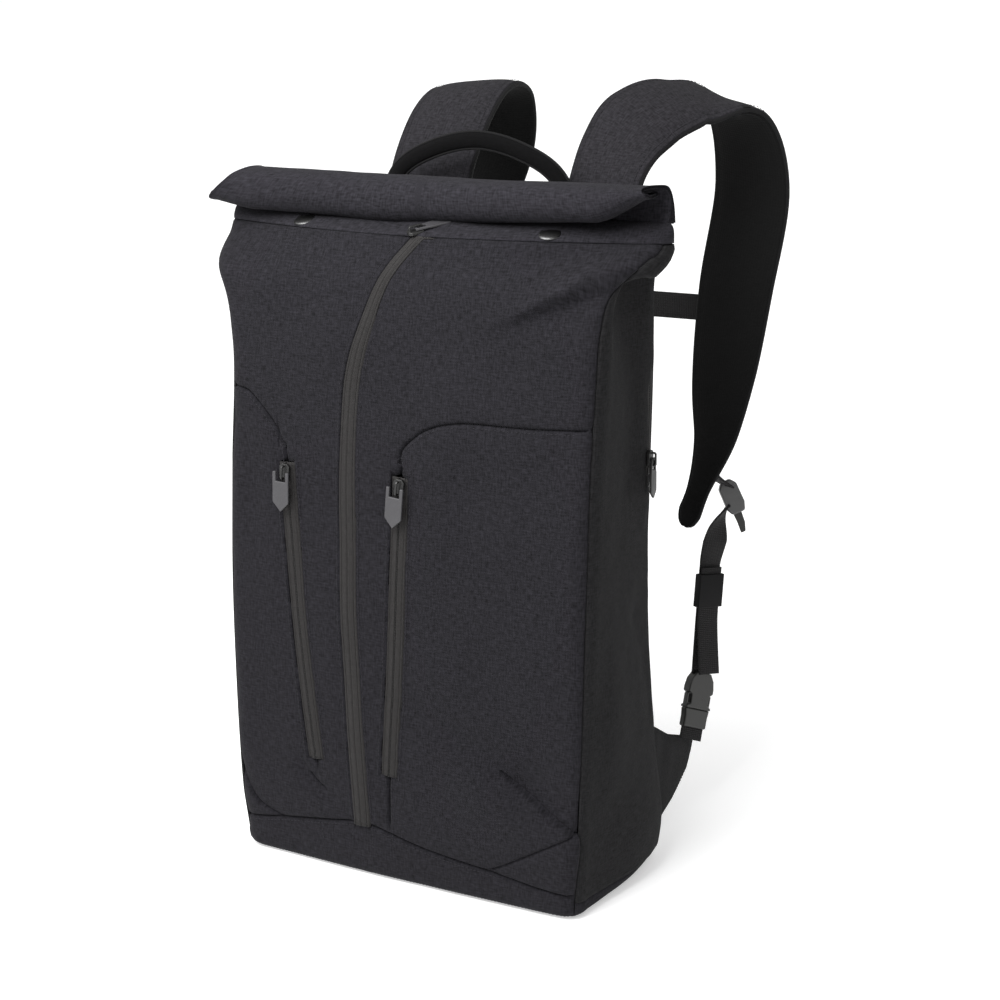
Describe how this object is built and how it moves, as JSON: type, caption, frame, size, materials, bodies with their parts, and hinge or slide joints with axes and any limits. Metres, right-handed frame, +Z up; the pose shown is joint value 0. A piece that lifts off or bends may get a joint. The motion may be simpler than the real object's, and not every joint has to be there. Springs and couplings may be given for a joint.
{
  "type": "rolltop backpack",
  "caption": "Upright cloth rolltop backpack with a rolled mouth, curved front zips, padded shoulder straps, haul handle and buckled webbing.",
  "frame": {"origin": "on the flat underside of the base, below the middle of the bag", "axes": "+Z up, the front faces -Y, +X to the right of a person looking at the front"},
  "size_m": [0.3888, 0.326, 0.6091],
  "materials": {
    "front_cloth": "matt purple-grey woven cloth of the front, pockets and roll",
    "side_cloth": "matt near-black woven cloth of the sides, base and wings",
    "back_cloth": "matt dark mesh cloth of the padded back",
    "zip_tape": "brown-grey coated zip tape",
    "strap_cloth": "matt woven cloth over foam",
    "webbing": "ribbed narrow webbing",
    "buckle_plastic": "satin moulded plastic",
    "zip_pull_plastic": "satin moulded plastic",
    "snap_metal": "bright metal"
  },
  "bodies": {
    "bag": {"side_panel_right": "side_cloth", "side_panel_left": "side_cloth", "back_panel": "back_cloth", "front_panel_left": "front_cloth", "front_panel_right": "front_cloth", "pocket_panel_left": "front_cloth", "pocket_panel_right": "front_cloth", "main_zip": "zip_tape", "pocket_zip_left": "zip_tape", "pocket_zip_right": "zip_tape", "base_panel": "side_cloth", "collar_roll": "front_cloth", "shoulder_strap_right": "strap_cloth", "shoulder_strap_left": "strap_cloth", "haul_handle": "strap_cloth", "ladder_lock_right": "buckle_plastic", "adjuster_tape_right": "webbing", "buckle_socket_right": "buckle_plastic", "buckle_plug_right": "buckle_plastic", "strap_webbing_right": "webbing", "webbing_tail_right": "webbing", "strap_keeper_right": "webbing", "anchor_webbing_right": "webbing", "ladder_lock_left": "buckle_plastic", "adjuster_tape_left": "webbing", "buckle_socket_left": "buckle_plastic", "buckle_plug_left": "buckle_plastic", "strap_webbing_left": "webbing", "webbing_tail_left": "webbing", "strap_keeper_left": "webbing", "anchor_webbing_left": "webbing", "pocket_zip_left_slider": "zip_pull_plastic", "pocket_zip_right_slider": "zip_pull_plastic", "main_zip_slider": "zip_pull_plastic", "main_zip_pull": "zip_pull_plastic", "side_zip": "zip_tape", "side_zip_slider": "zip_pull_plastic", "strap_wing_right": "side_cloth", "strap_wing_left": "side_cloth", "sternum_strap_left": "webbing", "sternum_strap_right": "webbing", "sternum_clasp": "buckle_plastic", "roll_snap_left": "snap_metal", "roll_snap_right": "snap_metal"},
    "pocket_zip_left_pull": {"pocket_zip_left_pull": "zip_pull_plastic"},
    "pocket_zip_right_pull": {"pocket_zip_right_pull": "zip_pull_plastic"},
    "side_zip_pull": {"side_zip_pull": "zip_pull_plastic"}
  },
  "joints": [
    {"name": "pocket_zip_left_pull_swing", "type": "hinge", "parent": "bag", "child": "pocket_zip_left_pull", "pos_m": [-0.09702, -0.06927, 0.32366], "axis": [-0.9962, 0.0364, 0.0797], "range_deg": [0, 140]},
    {"name": "pocket_zip_right_pull_swing", "type": "hinge", "parent": "bag", "child": "pocket_zip_right_pull", "pos_m": [0.00311, -0.071, 0.32368], "axis": [-0.9929, 0.0004, 0.1191], "range_deg": [0, 140]},
    {"name": "side_zip_pull_swing", "type": "hinge", "parent": "bag", "child": "side_zip_pull", "pos_m": [0.16065, 0.03731, 0.33883], "axis": [0.0006, -1, 0], "range_deg": [0, 140]}
  ]
}
